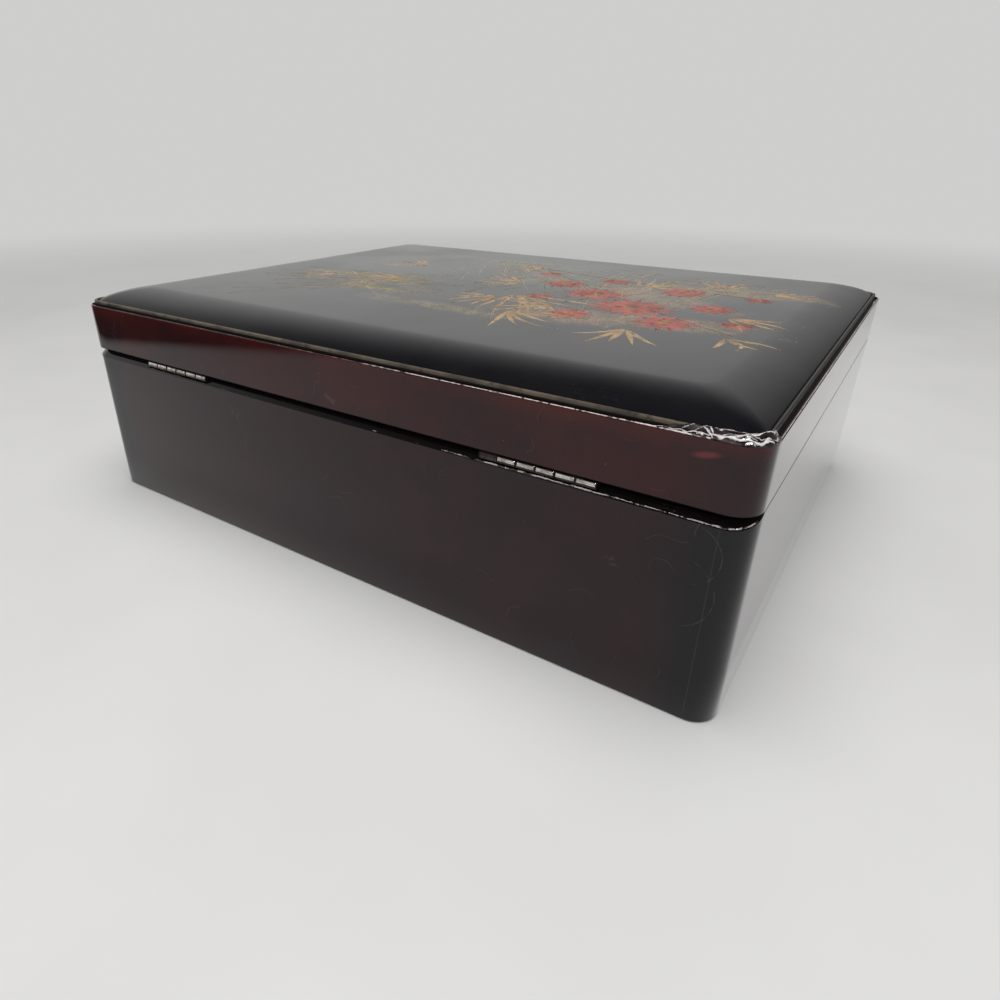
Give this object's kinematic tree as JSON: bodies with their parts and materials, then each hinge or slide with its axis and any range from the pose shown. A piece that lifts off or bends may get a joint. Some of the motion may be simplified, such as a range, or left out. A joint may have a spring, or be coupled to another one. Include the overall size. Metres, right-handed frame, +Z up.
{
  "type": "games case with drawers",
  "caption": "Wide lacquered games case: crowned hinged lid over a divided, felt-lined well, with side-by-side front drawers for game tiles.",
  "frame": {"origin": "middle of the flat underside", "axes": "+Z up, -Y out of the drawer fronts, +Y out of the hinged back, +X to the right as seen from the drawers"},
  "size_m": [0.384, 0.3129, 0.1247],
  "materials": {
    "body_lacquer": "gloss lacquer",
    "crown_lacquer": "gloss lacquer",
    "bead_gilt": "worn gilt lacquer",
    "inner_wood": "plain oiled",
    "felt": "wool felt",
    "hinge_metal": "plated, tarnished",
    "screw_steel": "plain",
    "pull_brass": "polished, aged"
  },
  "bodies": {
    "case": {"bottom_board": "inner_wood", "back_board": "body_lacquer", "left_side_board": "body_lacquer", "right_side_board": "body_lacquer", "front_upper_rail": "body_lacquer", "front_lower_rail": "body_lacquer", "front_centre_stile": "body_lacquer", "front_left_stile": "body_lacquer", "front_right_stile": "body_lacquer", "drawer_deck": "inner_wood", "centre_partition": "inner_wood", "drawer_guides": "inner_wood", "drawer_runners": "inner_wood", "well_long_divider": "inner_wood", "well_left_divider": "inner_wood", "well_right_divider": "inner_wood", "well_felt": "felt", "left_base_leaf": "hinge_metal", "right_base_leaf": "hinge_metal", "left_hinge_pin": "hinge_metal", "right_hinge_pin": "hinge_metal", "base_leaf_screws": "screw_steel"},
    "lid": {"lid_back_board": "body_lacquer", "lid_front_board": "body_lacquer", "lid_left_board": "body_lacquer", "lid_right_board": "body_lacquer", "crown_panel": "crown_lacquer", "crown_bead": "bead_gilt", "lid_felt": "felt", "left_lid_leaf": "hinge_metal", "right_lid_leaf": "hinge_metal", "lid_leaf_screws": "screw_steel"},
    "left_drawer": {"left_drawer_front": "body_lacquer", "left_drawer_inner_side": "inner_wood", "left_drawer_outer_side": "inner_wood", "left_drawer_back": "inner_wood", "left_drawer_bottom": "inner_wood", "left_drawer_felt": "felt", "left_pull_plate": "pull_brass", "left_pull_post": "pull_brass", "left_pull_nut": "pull_brass"},
    "right_drawer": {"right_drawer_front": "body_lacquer", "right_drawer_inner_side": "inner_wood", "right_drawer_outer_side": "inner_wood", "right_drawer_back": "inner_wood", "right_drawer_bottom": "inner_wood", "right_drawer_felt": "felt", "right_pull_plate": "pull_brass", "right_pull_post": "pull_brass", "right_pull_nut": "pull_brass"},
    "left_pull": {"left_pull_ring": "pull_brass"},
    "right_pull": {"right_pull_ring": "pull_brass"}
  },
  "joints": [
    {"name": "lid_hinge", "type": "hinge", "parent": "case", "child": "lid", "pos_m": [0, 0.1508, 0.0874], "axis": [-1, 0, 0], "range_deg": [0, 96]},
    {"name": "left_drawer_slide", "type": "slide", "parent": "case", "child": "left_drawer", "axis": [0, -1, 0], "range_m": [0, 0.22]},
    {"name": "right_drawer_slide", "type": "slide", "parent": "case", "child": "right_drawer", "axis": [0, -1, 0], "range_m": [0, 0.22]},
    {"name": "left_ring_swing", "type": "hinge", "parent": "left_drawer", "child": "left_pull", "pos_m": [-0.0915, -0.1576, 0.0305], "axis": [-1, 0, 0], "range_deg": [0, 165]},
    {"name": "right_ring_swing", "type": "hinge", "parent": "right_drawer", "child": "right_pull", "pos_m": [0.0915, -0.1576, 0.0305], "axis": [-1, 0, 0], "range_deg": [0, 165]}
  ]
}
